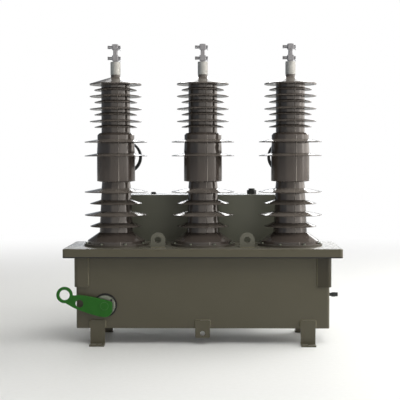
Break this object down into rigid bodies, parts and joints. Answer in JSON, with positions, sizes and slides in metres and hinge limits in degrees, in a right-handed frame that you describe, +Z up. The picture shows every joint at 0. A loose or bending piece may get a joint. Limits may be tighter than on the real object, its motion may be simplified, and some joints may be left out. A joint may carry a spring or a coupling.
{
  "type": "automatic circuit recloser",
  "caption": "Pole-mounted automatic circuit recloser: sheet-steel tank on feet, a row of shedded insulator poles with rear arms, control cabinet behind and a green trip handle.",
  "frame": {"origin": "on the ground, in the middle of the four foot bolts", "axes": "+Z up; -Y is the front with the trip handle; +X along the row of poles, to the right seen from the front"},
  "size_m": [1.0795, 0.6985, 1.1525],
  "materials": {
    "housing_paint": "khaki-grey powder coat, semi-matt",
    "cabinet_paint": "grey-green powder coat, semi-matt",
    "pole_resin": "dark brown-grey moulded insulator, glossy",
    "base_ring_paint": "dark grey paint",
    "tinned_metal": "tinned, satin",
    "clamp_metal": "tinned, dull",
    "galvanised_steel": "zinc plated",
    "black_plastic": "black nylon",
    "gasket_rubber": "black rubber, matt",
    "handle_enamel": "green enamel, satin"
  },
  "bodies": {
    "housing": {"cabinet_cover": "cabinet_paint", "cabinet_gland": "black_plastic", "cabinet_rail_left": "cabinet_paint", "cabinet_rail_right": "cabinet_paint", "cabinet_shell": "cabinet_paint", "cabinet_vent": "black_plastic", "corner_front_left": "housing_paint", "corner_front_right": "housing_paint", "dial_gasket": "gasket_rubber", "dial_plate": "galvanised_steel", "earth_lug": "housing_paint", "foot_front_left": "housing_paint", "foot_front_right": "housing_paint", "foot_rear_left": "housing_paint", "foot_rear_right": "housing_paint", "lifting_lug_left": "housing_paint", "lifting_lug_right": "housing_paint", "pole_left_arm": "pole_resin", "pole_left_base_ring": "base_ring_paint", "pole_left_column": "pole_resin", "pole_left_current_sensor": "black_plastic", "pole_left_rear_clamp": "clamp_metal", "pole_left_rear_stem": "tinned_metal", "pole_left_top_clamp": "clamp_metal", "pole_left_top_stem": "tinned_metal", "pole_middle_arm": "pole_resin", "pole_middle_base_ring": "base_ring_paint", "pole_middle_column": "pole_resin", "pole_middle_current_sensor": "black_plastic", "pole_middle_rear_clamp": "clamp_metal", "pole_middle_rear_stem": "tinned_metal", "pole_middle_top_clamp": "clamp_metal", "pole_middle_top_stem": "tinned_metal", "pole_right_arm": "pole_resin", "pole_right_base_ring": "base_ring_paint", "pole_right_column": "pole_resin", "pole_right_current_sensor": "black_plastic", "pole_right_rear_clamp": "clamp_metal", "pole_right_rear_stem": "tinned_metal", "pole_right_top_clamp": "clamp_metal", "pole_right_top_stem": "tinned_metal", "side_gland": "black_plastic", "tank_lid": "housing_paint", "tank_shell": "housing_paint"},
    "handle": {"trip_handle": "handle_enamel", "handle_shaft": "galvanised_steel"}
  },
  "joints": [
    {"name": "handle_pivot", "type": "hinge", "parent": "housing", "child": "handle", "pos_m": [-0.3705, -0.146, 0.152], "axis": [0, -1, 0], "range_deg": [0, 40]}
  ]
}
